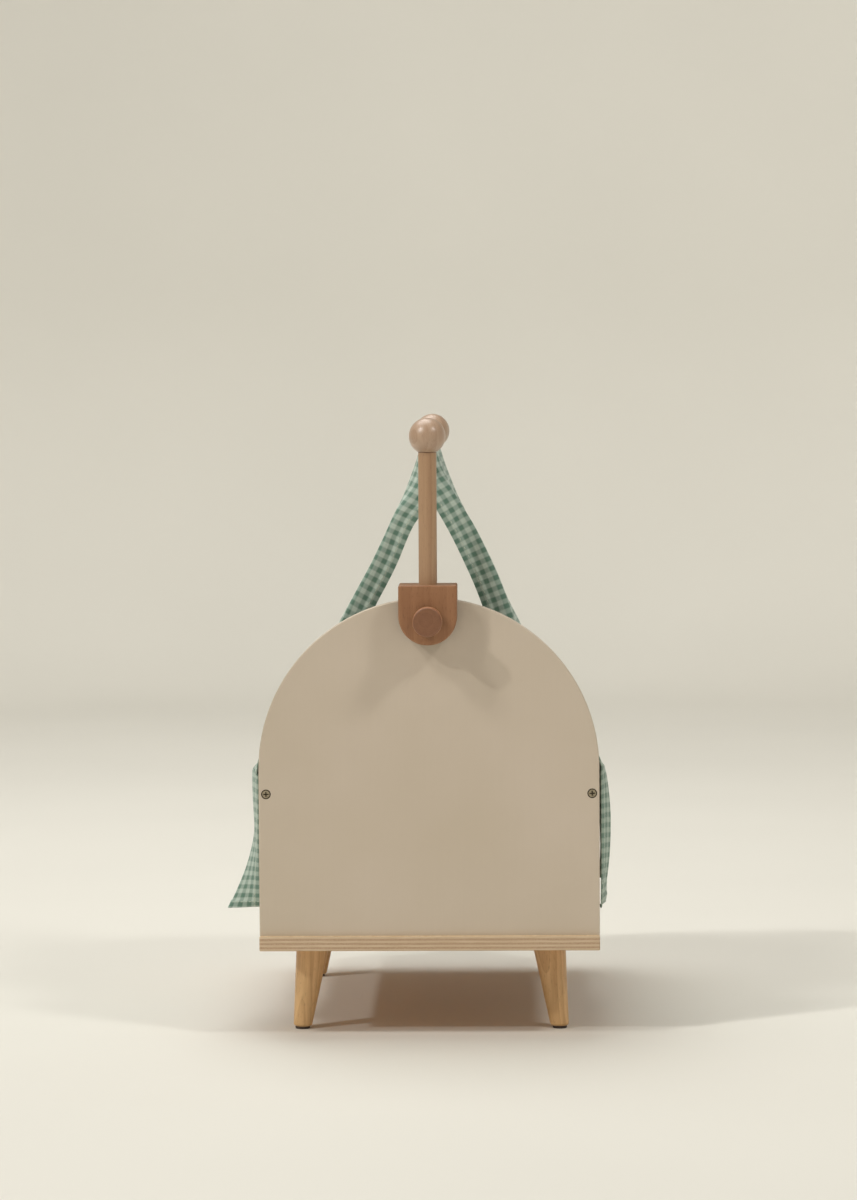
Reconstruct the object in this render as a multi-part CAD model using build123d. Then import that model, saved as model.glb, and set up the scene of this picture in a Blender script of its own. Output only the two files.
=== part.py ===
"""A doll's bassinet on a stand, with a clamp-on canopy arm, in millimetres.

+Z is up, +X runs across the bassinet and -Y is its head end. The origin is on the floor, under
the middle of the whole model's box. Each function makes one kind of piece, and the bottom of the
script writes one STEP file for each node.
"""

import os
from math import asin, atan, hypot, radians, tan

from build123d import *

# Boards: one thickness throughout
BOARD = 12.0
BASE_WIDTH, BASE_LENGTH = 280.0, 410.0
END_INSET = 6.0  # the base runs past each end board by this much
EDGE_ROUND = 1.0

# Stand
FLOOR_TO_BASE = 73.0
GLIDE_RADIUS, GLIDE_HEIGHT, GLIDE_ROUND = 6.0, 2.0, 0.5
LEG_TOP_X, LEG_TOP_Y = 98.5, 138.0  # leg axes at the base's underside, from the base's centre
LEG_TOP_RADIUS, LEG_FOOT_RADIUS = 14.1, 7.6
LEG_SPLAY = 7.3  # degrees outward, both across and along
LEG_FOOT_ROUND = 2.4

# End boards and sides
SPRING_HEIGHT = 138.0  # the end boards' straight edges, from the base's top
HEAD_ARCH_RADIUS = BASE_WIDTH / 2
FOOT_ARCH_RISE = 60.0
SIDE_HEIGHT, SIDE_ROUND = 145.0, 2.5

# Fasteners
SCREW_LENGTH, SCREW_RADIUS, SCREW_HEAD_RADIUS = 35.0, 2.0, 4.0
POST_SCREW_LENGTH = 25.0
SCREW_TIP, SCREW_TIP_RADIUS = 4.0, 0.3
RECESS_SPAN, RECESS_WIDTH, RECESS_DEPTH = 4.4, 1.0, 1.2
SIDE_SCREW_DROP = 28.0  # below the sides' top edges
END_SCREW_X = (-90.0, 0.0, 90.0)
SIDE_SCREW_Y = (-90.0, 90.0)
BOLT_RADIUS, BOLT_IN_LEG, BOLT_IN_BASE, BOLT_CHAMFER = 2.95, 25.0, 10.5, 1.2
NUT_BORE, NUT_BARREL_RADIUS, NUT_BARREL_GAP = 3.0, 3.9, 1.0
NUT_FLANGE_RADIUS, NUT_FLANGE = 9.0, 1.2

# Clamp block, which straddles the top of the headboard
CLAMP_WIDTH, CLAMP_HEIGHT, CLAMP_ROOF, CLAMP_ROUND = 48.0, 49.0, 11.3, 1.4
FRONT_JAW, REAR_JAW = 12.5, 10.5
JAW_GAP = 7.0  # from the front jaw to the headboard
LINER, LINER_MARGIN = 1.0, 3.0
ROOF_GAP = 0.3

# Clamp screw, knob and pressure pad
SCREW_DROP = 17.5  # the screw's axis, below the top of the headboard
CLAMP_SCREW_RADIUS, CLAMP_TIP_RADIUS, CLAMP_TIP = 3.0, 2.0, 1.6
RUNNING_GAP = 0.05
JAW_HOLE_RADIUS, JAW_HOLE_DEPTH = 3.3, 2.0
INSERT_RADIUS, INSERT_LENGTH = 4.6, 7.5
PAD_RADIUS, PAD_THICKNESS, PAD_POCKET_RADIUS = 8.0, 2.4, 8.3
KNOB_RADIUS, KNOB_THICKNESS, KNOB_GAP, KNOB_SOCKET = 12.0, 18.0, 3.0, 13.0
KNOB_ROUND = 1.6

# Canopy arm
POST_RADIUS, POST_SOCKET = 7.5, 5.0
BALL_RADIUS, BALL_HEIGHT = 15.0, 495.5  # the balls' centres, above the floor
BALL_SPACING = 276.0
BALL_POST_FLAT, BALL_BAR_FLAT = 12.8, 14.2  # each flat's distance from its ball's centre
POST_STOP = 6.0  # the post ends this far below its ball's centre
BAR_RADIUS, BAR_STOP = 4.0, 4.0

# Canopy, a cotton sheet laid over the bar and down outside the sides
CLOTH, CLOTH_GAP = 1.5, 0.4
CANOPY_END_GAP = 6.0  # from each ball to the canopy's hem
HEM_X, HEM_Z = 155.0, 104.0
CANOPY_FOLD_RADIUS = 3.5

# Mattress
MATTRESS_THICKNESS, MATTRESS_SIDE_GAP, MATTRESS_END_GAP = 25.0, 5.0, 4.0
MATTRESS_CORNER, MATTRESS_EDGE = 18.0, 9.0

# Heights
BASE_TOP = FLOOR_TO_BASE + BOARD
SPRING_Z = BASE_TOP + SPRING_HEIGHT
ARCH_TOP = SPRING_Z + HEAD_ARCH_RADIUS
SIDE_TOP = BASE_TOP + SIDE_HEIGHT
SIDE_SCREW_Z = SIDE_TOP - SIDE_SCREW_DROP
CLAMP_TOP = ARCH_TOP + CLAMP_ROOF
CLAMP_SCREW_Z = ARCH_TOP - SCREW_DROP
ROOF_Z = ARCH_TOP + ROOF_GAP

# Places along the length, with the model's box centred on y = 0
KNOB_REACH = JAW_GAP + FRONT_JAW + KNOB_GAP + KNOB_THICKNESS - END_INSET  # past the base's end
BASE_Y = KNOB_REACH / 2
HEAD_OUTER = BASE_Y - BASE_LENGTH / 2 + END_INSET
HEAD_INNER = HEAD_OUTER + BOARD
FOOT_OUTER = BASE_Y + BASE_LENGTH / 2 - END_INSET
FOOT_INNER = FOOT_OUTER - BOARD
BAY_LENGTH = FOOT_INNER - HEAD_INNER
SLOT_FRONT = HEAD_OUTER - JAW_GAP
SLOT_BACK = HEAD_INNER + LINER
CLAMP_FRONT = SLOT_FRONT - FRONT_JAW
CLAMP_DEPTH = SLOT_BACK + REAR_JAW - CLAMP_FRONT
INSERT_FRONT = CLAMP_FRONT + JAW_HOLE_DEPTH
POCKET_FRONT = INSERT_FRONT + INSERT_LENGTH
KNOB_BACK = CLAMP_FRONT - KNOB_GAP
PAD_FRONT = HEAD_OUTER - PAD_THICKNESS
POST_Y = CLAMP_FRONT + CLAMP_DEPTH / 2
END_BALL_Y = POST_Y + BALL_SPACING
SIDE_X = (BASE_WIDTH - BOARD) / 2

FACE_MINUS_Y = Rot(90, 0, 0)  # turns +Z to -Y
FACE_PLUS_Y = Rot(-90, 0, 0)  # turns +Z to +Y
FACE_DOWN = Rot(180, 0, 0)
FROM_BOTTOM = (Align.CENTER, Align.CENTER, Align.MIN)
FROM_TOP = (Align.CENTER, Align.CENTER, Align.MAX)


# Shared shapes

def rod(radius, y, z, length):
    """A cylinder along +Y from y, on the plane x = 0."""
    return Pos(0, y, z) * FACE_PLUS_Y * Cylinder(radius, length, align=FROM_BOTTOM)


def upright(radius, x, y, low, high):
    """A vertical cylinder between two heights."""
    return Pos(x, y, low) * Cylinder(radius, high - low, align=FROM_BOTTOM)


def screw_body(length, tip):
    """A countersunk screw's outside, its head's face at z = 0, with a point or a square end."""
    head_height = SCREW_HEAD_RADIUS - SCREW_RADIUS
    head = Cone(SCREW_RADIUS, SCREW_HEAD_RADIUS, head_height, align=FROM_TOP)
    shank = upright(SCREW_RADIUS, 0, 0, tip - length, -head_height)
    if tip:
        shank += Pos(0, 0, -length) * Cone(SCREW_TIP_RADIUS, SCREW_RADIUS, tip, align=FROM_BOTTOM)
    return head + shank


def wood_screw(length):
    """A countersunk wood screw with a cross recess, head up."""
    recess = Box(RECESS_SPAN, RECESS_WIDTH, RECESS_DEPTH, align=FROM_TOP)
    recess += Box(RECESS_WIDTH, RECESS_SPAN, RECESS_DEPTH, align=FROM_TOP)
    return screw_body(length, SCREW_TIP) - recess


def group(solids):
    """Several separate solids in one node."""
    return Compound(children=list(solids))


# Places

def head_screw_places():
    """Two screws, through the headboard into the sides' ends."""
    return [Pos(x, HEAD_OUTER, SIDE_SCREW_Z) * FACE_MINUS_Y for x in (-SIDE_X, SIDE_X)]


def foot_screw_places():
    """Two screws, through the footboard into the sides' ends."""
    return [Pos(x, FOOT_OUTER, SIDE_SCREW_Z) * FACE_PLUS_Y for x in (-SIDE_X, SIDE_X)]


def base_screw_places():
    """Ten screws, up through the base: three into each end board and two into each side."""
    ends = [(x, y) for y in (HEAD_OUTER + BOARD / 2, FOOT_OUTER - BOARD / 2) for x in END_SCREW_X]
    sides = [(x, BASE_Y + y) for x in (-SIDE_X, SIDE_X) for y in SIDE_SCREW_Y]
    return [Pos(x, y, FLOOR_TO_BASE) * FACE_DOWN for x, y in ends + sides]


def post_screw_place():
    """One screw, up through the clamp block's roof into the post."""
    return Pos(0, POST_Y, ROOF_Z) * FACE_DOWN


def leg_places():
    """Each leg's name, its axis at the base's underside, and its outward signs."""
    for end, out_y in (("head", -1), ("foot", 1)):
        for side, out_x in (("left", -1), ("right", 1)):
            yield f"{end}_{side}", out_x * LEG_TOP_X, BASE_Y + out_y * LEG_TOP_Y, out_x, out_y


def leg_axis(x, y, out_x, out_y, height):
    """The point on a leg's splayed axis at a height above the floor."""
    run = (FLOOR_TO_BASE - height) * tan(radians(LEG_SPLAY))
    return Vector(x + out_x * run, y + out_y * run, height)


def screwed(board):
    """A board with the holes of every screw that reaches it."""
    for place in head_screw_places() + foot_screw_places() + base_screw_places():
        board -= place * screw_body(SCREW_LENGTH, 0)
    return board


# Boards

def base_board():
    board = Pos(0, BASE_Y, FLOOR_TO_BASE) * Box(BASE_WIDTH, BASE_LENGTH, BOARD, align=FROM_BOTTOM)
    board = fillet(board.edges(), EDGE_ROUND)
    for _, x, y, _, _ in leg_places():
        board -= upright(NUT_BARREL_RADIUS, x, y, FLOOR_TO_BASE, BASE_TOP)
        board -= upright(NUT_FLANGE_RADIUS, x, y, BASE_TOP - NUT_FLANGE, BASE_TOP)
    return screwed(board)


def end_board(arch, outer, inward):
    """A board with straight sides under an arch, from its outer face inward."""
    outline = Pos(0, SPRING_HEIGHT / 2) * Rectangle(BASE_WIDTH, SPRING_HEIGHT)
    outline += Pos(0, SPRING_HEIGHT) * arch
    face = Plane(origin=(0, outer, BASE_TOP), x_dir=(1, 0, 0), z_dir=(0, -1, 0)) * outline
    board = extrude(face, BOARD, dir=(0, inward, 0))
    rims = board.faces().filter_by(Axis.Y).edges()
    rims = [edge for edge in rims if edge.bounding_box().max.Z > BASE_TOP + EDGE_ROUND]
    return screwed(fillet(rims, EDGE_ROUND))


def half_ellipse(rise):
    """The top half of an ellipse as wide as the base."""
    below = Rectangle(2 * BASE_WIDTH, 2 * rise, align=(Align.CENTER, Align.MAX))
    whole = Circle(rise) if rise == BASE_WIDTH / 2 else Ellipse(BASE_WIDTH / 2, rise)
    return whole - below


def side_panel(x):
    panel = Pos(x, BASE_Y, BASE_TOP) * Box(BOARD, BAY_LENGTH, SIDE_HEIGHT, align=FROM_BOTTOM)
    panel = fillet(panel.edges().filter_by(Axis.Y).group_by(Axis.Z)[-1], SIDE_ROUND)
    return screwed(panel)


# Legs

def leg(x, y, out_x, out_y):
    """A round tapered leg, splayed both ways, cut level at the base and at its glide."""
    top = leg_axis(x, y, out_x, out_y, FLOOR_TO_BASE)
    foot = leg_axis(x, y, out_x, out_y, GLIDE_HEIGHT)
    spare = 0.1  # of the length, at each end, to be cut level
    growth = (LEG_TOP_RADIUS - LEG_FOOT_RADIUS) * spare
    along = top - foot
    cone = Cone(
        LEG_FOOT_RADIUS - growth,
        LEG_TOP_RADIUS + growth,
        along.length * (1 + 2 * spare),
        align=FROM_BOTTOM,
    )
    shape = Plane(origin=foot - along * spare, z_dir=along) * cone
    height = FLOOR_TO_BASE - GLIDE_HEIGHT
    shape &= Pos(x, y, GLIDE_HEIGHT) * Box(height, height, height, align=FROM_BOTTOM)
    shape = fillet(shape.faces().sort_by(Axis.Z)[0].edges(), LEG_FOOT_ROUND)
    return shape - upright(BOLT_RADIUS, x, y, FLOOR_TO_BASE - BOLT_IN_LEG, FLOOR_TO_BASE)


def leg_glide(x, y, out_x, out_y):
    centre = leg_axis(x, y, out_x, out_y, GLIDE_HEIGHT)
    disc = upright(GLIDE_RADIUS, centre.X, centre.Y, 0, GLIDE_HEIGHT)
    return fillet(disc.faces().sort_by(Axis.Z)[0].edges(), GLIDE_ROUND)


def hanger_bolt(x, y):
    bolt = upright(BOLT_RADIUS, x, y, FLOOR_TO_BASE - BOLT_IN_LEG, FLOOR_TO_BASE + BOLT_IN_BASE)
    return chamfer(bolt.faces().sort_by(Axis.Z)[-1].edges(), BOLT_CHAMFER)


def tee_nut(x, y):
    nut = upright(NUT_BARREL_RADIUS, x, y, FLOOR_TO_BASE + NUT_BARREL_GAP, BASE_TOP)
    nut += upright(NUT_FLANGE_RADIUS, x, y, BASE_TOP - NUT_FLANGE, BASE_TOP)
    return nut - upright(NUT_BORE, x, y, FLOOR_TO_BASE, BASE_TOP)


# Clamp

def clamp_slab(front, depth, margin):
    """The clamp's face, square above and half round below, made solid from front inward."""
    radius = CLAMP_WIDTH / 2 - margin
    square = Rectangle(2 * radius, CLAMP_HEIGHT - CLAMP_WIDTH / 2 - margin, align=(Align.CENTER, Align.MIN))
    centre = (0, front, CLAMP_TOP - CLAMP_HEIGHT + CLAMP_WIDTH / 2)
    face = Plane(origin=centre, x_dir=(1, 0, 0), z_dir=(0, -1, 0)) * (square + Circle(radius))
    return extrude(face, depth, dir=(0, 1, 0))


def clamp_block():
    block = clamp_slab(CLAMP_FRONT, CLAMP_DEPTH, 0)
    block = fillet(block.edges(), CLAMP_ROUND)
    slot = Box(2 * CLAMP_WIDTH, SLOT_BACK - SLOT_FRONT, CLAMP_HEIGHT, align=FROM_TOP)
    block -= Pos(0, (SLOT_FRONT + SLOT_BACK) / 2, ROOF_Z) * slot
    block -= upright(POST_RADIUS, 0, POST_Y, CLAMP_TOP - POST_SOCKET, CLAMP_TOP)
    block -= post_screw_place() * screw_body(POST_SCREW_LENGTH, 0)
    block -= rod(JAW_HOLE_RADIUS, CLAMP_FRONT, CLAMP_SCREW_Z, JAW_HOLE_DEPTH)
    block -= rod(INSERT_RADIUS, INSERT_FRONT, CLAMP_SCREW_Z, INSERT_LENGTH)
    return block - rod(PAD_POCKET_RADIUS, POCKET_FRONT, CLAMP_SCREW_Z, SLOT_FRONT - POCKET_FRONT)


def clamp_insert():
    sleeve = rod(INSERT_RADIUS, INSERT_FRONT, CLAMP_SCREW_Z, INSERT_LENGTH)
    return sleeve - rod(CLAMP_SCREW_RADIUS + RUNNING_GAP, INSERT_FRONT, CLAMP_SCREW_Z, INSERT_LENGTH)


def clamp_liner():
    """A thin felt face on the rear jaw, against the back of the headboard."""
    above = Box(CLAMP_WIDTH, BOARD, CLAMP_HEIGHT, align=FROM_BOTTOM)
    return clamp_slab(HEAD_INNER, LINER, LINER_MARGIN) - Pos(0, HEAD_INNER, ROOF_Z - LINER_MARGIN) * above


def clamp_pad():
    pad = rod(PAD_RADIUS, PAD_FRONT, CLAMP_SCREW_Z, PAD_THICKNESS)
    return pad - rod(CLAMP_TIP_RADIUS + RUNNING_GAP, PAD_FRONT, CLAMP_SCREW_Z, CLAMP_TIP + RUNNING_GAP)


def clamp_screw():
    start = KNOB_BACK - KNOB_SOCKET
    shank = rod(CLAMP_SCREW_RADIUS, start, CLAMP_SCREW_Z, PAD_FRONT - start)
    return shank + rod(CLAMP_TIP_RADIUS, PAD_FRONT, CLAMP_SCREW_Z, CLAMP_TIP)


def clamp_knob():
    knob = rod(KNOB_RADIUS, KNOB_BACK - KNOB_THICKNESS, CLAMP_SCREW_Z, KNOB_THICKNESS)
    knob = fillet(knob.edges().filter_by(GeomType.CIRCLE), KNOB_ROUND)
    return knob - rod(CLAMP_SCREW_RADIUS, KNOB_BACK - KNOB_SOCKET, CLAMP_SCREW_Z, KNOB_SOCKET)


# Canopy arm

def canopy_post():
    dowel = upright(POST_RADIUS, 0, POST_Y, CLAMP_TOP - POST_SOCKET, BALL_HEIGHT - POST_STOP)
    return dowel - post_screw_place() * screw_body(POST_SCREW_LENGTH, 0)


def canopy_bar():
    return rod(BAR_RADIUS, POST_Y + BAR_STOP, BALL_HEIGHT, BALL_SPACING - 2 * BAR_STOP)


def bar_ball(y, toward_bar):
    """A ball with a flat and a blind hole for the bar."""
    size = 2 * BALL_RADIUS
    beyond_flat = Pos(0, y + toward_bar * (BALL_BAR_FLAT + BALL_RADIUS), BALL_HEIGHT)
    ball = Pos(0, y, BALL_HEIGHT) * Sphere(BALL_RADIUS)
    return ball - beyond_flat * Box(size, size, size) - canopy_bar()


def post_ball():
    """The near ball, with a second flat and a blind hole for the post."""
    below_flat = Pos(0, POST_Y, BALL_HEIGHT - BALL_POST_FLAT)
    size = 2 * BALL_RADIUS
    ball = bar_ball(POST_Y, 1) - below_flat * Box(size, size, size, align=FROM_TOP)
    return ball - upright(POST_RADIUS, 0, POST_Y, CLAMP_TOP, BALL_HEIGHT - POST_STOP)


def canopy():
    """A thin sheet over the bar, down to each side, across its top and hanging outside it."""
    middle = CLOTH_GAP + CLOTH / 2
    over_bar = BAR_RADIUS + middle
    over_side = SIDE_TOP + middle
    inner = BASE_WIDTH / 2 - BOARD - middle
    outer = BASE_WIDTH / 2 + middle
    rise = BALL_HEIGHT - over_side
    lean = atan(inner / rise) - asin(over_bar / hypot(inner, rise))  # of the line that just clears the bar
    peak = over_side + inner / tan(lean)
    corners = [(-HEM_X, HEM_Z), (-outer, over_side), (-inner, over_side), (0, peak)]
    corners += [(-x, z) for x, z in reversed(corners[:-1])]
    fold = CANOPY_FOLD_RADIUS
    line = FilletPolyline(*corners, radius=[fold, fold, over_bar, fold, fold])
    start = POST_Y + BALL_RADIUS + CANOPY_END_GAP
    length = BALL_SPACING - 2 * (BALL_RADIUS + CANOPY_END_GAP)
    strip = Plane(origin=(0, start, 0), x_dir=(1, 0, 0), z_dir=(0, -1, 0)) * trace(line, CLOTH)
    return extrude(strip, length, dir=(0, 1, 0))


# Mattress

def mattress():
    width = BASE_WIDTH - 2 * (BOARD + MATTRESS_SIDE_GAP)
    length = BAY_LENGTH - 2 * MATTRESS_END_GAP
    pad = Pos(0, BASE_Y, BASE_TOP) * Box(width, length, MATTRESS_THICKNESS, align=FROM_BOTTOM)
    pad = fillet(pad.edges().filter_by(Axis.Z), MATTRESS_CORNER)
    return fillet(pad.faces().filter_by(Axis.Z).edges(), MATTRESS_EDGE)


def nodes():
    """Every node's name and shape."""
    yield "base_board", base_board()
    yield "headboard", end_board(half_ellipse(HEAD_ARCH_RADIUS), HEAD_OUTER, 1)
    yield "footboard", end_board(half_ellipse(FOOT_ARCH_RISE), FOOT_OUTER, -1)
    yield "side_panel_left", side_panel(-SIDE_X)
    yield "side_panel_right", side_panel(SIDE_X)
    for name, x, y, out_x, out_y in leg_places():
        yield f"leg_{name}", leg(x, y, out_x, out_y)
        yield f"leg_glide_{name}", leg_glide(x, y, out_x, out_y)
    yield "leg_hanger_bolts", group(hanger_bolt(x, y) for _, x, y, _, _ in leg_places())
    yield "leg_tee_nuts", group(tee_nut(x, y) for _, x, y, _, _ in leg_places())
    yield "headboard_screws", group(place * wood_screw(SCREW_LENGTH) for place in head_screw_places())
    yield "footboard_screws", group(place * wood_screw(SCREW_LENGTH) for place in foot_screw_places())
    yield "base_screws", group(place * wood_screw(SCREW_LENGTH) for place in base_screw_places())
    yield "mattress", mattress()
    yield "clamp_block", clamp_block()
    yield "clamp_insert", clamp_insert()
    yield "clamp_liner", clamp_liner()
    yield "clamp_pad", clamp_pad()
    yield "clamp_screw", clamp_screw()
    yield "clamp_knob", clamp_knob()
    yield "canopy_post", canopy_post()
    yield "canopy_post_screw", post_screw_place() * wood_screw(POST_SCREW_LENGTH)
    yield "canopy_post_ball", post_ball()
    yield "canopy_bar", canopy_bar()
    yield "canopy_bar_end_ball", bar_ball(END_BALL_Y, -1)
    yield "canopy", canopy()


os.makedirs("parts", exist_ok=True)
for node, shape in nodes():
    export_step(shape, f"parts/{node}.step")
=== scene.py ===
import math

import bpy
from mathutils import Matrix, Vector, noise


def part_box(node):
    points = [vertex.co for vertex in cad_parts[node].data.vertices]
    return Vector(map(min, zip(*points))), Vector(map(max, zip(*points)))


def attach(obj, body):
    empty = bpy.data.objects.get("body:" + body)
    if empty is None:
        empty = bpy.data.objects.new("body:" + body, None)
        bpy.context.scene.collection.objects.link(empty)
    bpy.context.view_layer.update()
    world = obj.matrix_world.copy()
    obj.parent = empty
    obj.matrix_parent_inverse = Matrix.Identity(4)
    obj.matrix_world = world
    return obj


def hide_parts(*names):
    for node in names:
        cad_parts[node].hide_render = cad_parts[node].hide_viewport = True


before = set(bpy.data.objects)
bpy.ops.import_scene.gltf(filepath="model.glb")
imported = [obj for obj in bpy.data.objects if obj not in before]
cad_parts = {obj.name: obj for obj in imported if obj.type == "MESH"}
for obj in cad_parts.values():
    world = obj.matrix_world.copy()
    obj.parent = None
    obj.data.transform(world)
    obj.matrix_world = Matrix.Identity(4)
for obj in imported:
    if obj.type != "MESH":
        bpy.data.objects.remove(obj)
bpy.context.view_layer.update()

MM = 0.001


def lerp(a, b, t):
    return a + (b - a) * t


def smooth(low, high, value):
    """0 below low, 1 above high and an S-curve between."""
    t = min(max((value - low) / (high - low), 0.0), 1.0)
    return t * t * (3 - 2 * t)


def colour(red, green, blue):
    """A screen colour from 0 to 255 as Blender's linear colour."""
    def linear(value):
        value /= 255
        return value / 12.92 if value <= 0.04045 else ((value + 0.055) / 1.055) ** 2.4
    return (linear(red), linear(green), linear(blue), 1.0)


# ---------------------------------------------------------------- materials

class Shader:
    """A material's node tree, with a short call for each kind of node this script uses."""

    def __init__(self, name):
        self.material = bpy.data.materials.new(name)
        self.material.use_nodes = True
        self.tree = self.material.node_tree
        self.surface = self.tree.nodes["Principled BSDF"]

    def put(self, socket, value):
        if isinstance(value, bpy.types.NodeSocket):
            self.tree.links.new(value, socket)
        else:
            socket.default_value = value

    def node(self, kind, output=0, settings=None, **inputs):
        """A new node: settings are its own properties and inputs its sockets, by name."""
        made = self.tree.nodes.new("ShaderNode" + kind)
        for key, value in (settings or {}).items():
            setattr(made, key, value)
        for key, value in inputs.items():
            self.put(made.inputs[key.replace("_", " ")], value)
        return made.outputs[output]

    def math(self, operation, *values):
        made = self.tree.nodes.new("ShaderNodeMath")
        made.operation = operation
        for socket, value in zip(made.inputs, values):
            self.put(socket, value)
        return made.outputs[0]

    def place(self, scale=(1, 1, 1), shift=(0, 0, 0), source="Object"):
        """The piece's own coordinates, in metres, scaled and shifted."""
        coordinates = self.tree.nodes.new("ShaderNodeTexCoord").outputs[source]
        return self.node("Mapping", Vector=coordinates, Scale=scale, Location=shift)

    def noise(self, vector, detail=3.0, rough=0.55):
        return self.node("TexNoise", Vector=vector, Scale=1.0, Detail=detail, Roughness=rough)

    def span(self, value, low, high, to_low=0.0, to_high=1.0):
        """value from low to high, taken to to_low to to_high and held there."""
        made = self.tree.nodes.new("ShaderNodeMapRange")
        for socket, number in zip(made.inputs, (value, low, high, to_low, to_high)):
            self.put(socket, number)
        return made.outputs[0]

    def mix(self, factor, first, second):
        """The first colour where factor is 0, the second where it is 1."""
        made = self.tree.nodes.new("ShaderNodeMix")
        made.data_type = "RGBA"
        for index, value in zip((0, 6, 7), (factor, first, second)):
            self.put(made.inputs[index], value)
        return made.outputs[2]

    def axes(self, vector):
        """A vector's x, y and z as three sockets."""
        made = self.tree.nodes.new("ShaderNodeSeparateXYZ")
        self.put(made.inputs[0], vector)
        return made.outputs

    def bump(self, height, distance, strength):
        made = self.tree.nodes.new("ShaderNodeBump")
        self.put(made.inputs["Height"], height)
        made.inputs["Distance"].default_value = distance
        made.inputs["Strength"].default_value = strength
        return made.outputs[0]

    def facing(self, kind, axis):
        """How far the surface faces along an axis, from -1 to 1, by one of Geometry's normals."""
        geometry = self.tree.nodes.new("ShaderNodeNewGeometry")
        return self.axes(geometry.outputs[kind])["XYZ".index(axis)]

    def finish(self, base, rough, normal=None, **fixed):
        """Joins colour, roughness and bump to the surface. fixed values are the same all over."""
        self.put(self.surface.inputs["Base Color"], base)
        self.put(self.surface.inputs["Roughness"], rough)
        if normal:
            self.put(self.surface.inputs["Normal"], normal)
        for key, value in fixed.items():
            self.surface.inputs[key.replace("_", " ")].default_value = value
        return self.material


def along(axis, fine, coarse):
    """A scale for grain that runs along an axis: fine across it and coarse along it."""
    return tuple(coarse if letter == axis else fine for letter in "XYZ")


def wood(name, axis, pale, dark, pith, ring, fleck, coat, rough=0.46, shadow_gap_at=None, end_grain=0.0):
    """Clear-finished wood: growth rings round a pith line, long fibres and short flecks.

    A dark line of painted shade, standing in for the shadow in the gap at a joint, runs round it just below
    the joint's height, when one is given.
    Faces across the grain are darker by end_grain.
    """
    s = Shader(name)
    warp = s.noise(s.place(along(axis, 18, 4)), detail=2)
    rings = s.node(
        "TexWave",
        output=1,
        settings={"wave_type": "RINGS", "rings_direction": axis, "wave_profile": "SAW"},
        Vector=s.place(shift=pith),
        Scale=math.pi / 10 / ring,
        Distortion=5.0,
        Detail=2.0,
        Detail_Scale=0.25,
    )
    fibre = s.noise(s.place(along(axis, 1500, 38)), detail=4)
    streak = s.noise(s.place(along(axis, 260, 9)), detail=3)
    dashes = s.noise(s.place(along(axis, 1150, 210)), detail=1)
    tone = s.math("MULTIPLY", s.span(rings, 0.1, 1.0), 0.3)
    tone = s.math("ADD", tone, s.span(streak, 0.3, 0.75, -0.04, 0.30))
    tone = s.math("ADD", tone, s.span(fibre, 0.3, 0.7, -0.06, 0.16))
    tone = s.math("ADD", tone, s.span(warp, 0.3, 0.7, -0.12, 0.12))
    base = s.mix(tone, pale, dark)
    flecks = s.span(dashes, 0.63, 0.72, 0.0, fleck)
    base = s.mix(flecks, base, tuple(0.45 * c for c in dark[:3]) + (1.0,))
    if end_grain:
        cut = s.span(s.math("ABSOLUTE", s.facing("Normal", axis)), 0.35, 0.75, 0.0, end_grain)
        base = s.mix(cut, base, tuple(0.25 * c for c in dark[:3]) + (1.0,))
    # Painted shadow: a dark ring just below the joint, where the shade of the gap falls.
    if shadow_gap_at is not None:
        line = s.span(s.axes(s.place())[2], shadow_gap_at - 1.5 * MM, shadow_gap_at - 0.7 * MM, 0.0, 0.75)
        base = s.mix(line, base, tuple(0.25 * c for c in dark[:3]) + (1.0,))
    shine = s.span(fibre, 0.3, 0.7, rough - 0.06, rough + 0.08)
    shine = s.math("ADD", shine, s.math("MULTIPLY", flecks, 0.2))
    height = s.math("SUBTRACT", s.math("MULTIPLY", fibre, 0.6), flecks)
    return s.finish(base, shine, s.bump(height, 0.00012, 0.55), Coat_Weight=coat, Coat_Roughness=0.35)


def painted_board():
    """Cream satin paint over plywood: roller stipple, a hint of grain and faint tonal drift."""
    s = Shader("cream_paint")
    stipple = s.noise(s.place((900, 900, 900)), detail=3, rough=0.6)
    grain = s.noise(s.place(along("Z", 420, 14)), detail=3)
    drift = s.noise(s.place((9, 9, 9)), detail=2)
    base = s.mix(s.span(drift, 0.3, 0.7), colour(200, 186, 170), colour(195, 181, 163))
    base = s.mix(s.span(grain, 0.35, 0.7, 0.0, 0.05), base, colour(184, 170, 151))
    height = s.math("ADD", s.math("MULTIPLY", stipple, 0.7), s.math("MULTIPLY", grain, 0.5))
    shine = s.math("ADD", s.span(stipple, 0.3, 0.7, 0.44, 0.56), s.span(drift, 0.3, 0.7, -0.03, 0.03))
    return s.finish(base, shine, s.bump(height, 0.00007, 0.5), Coat_Weight=0.08, Coat_Roughness=0.4)


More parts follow.
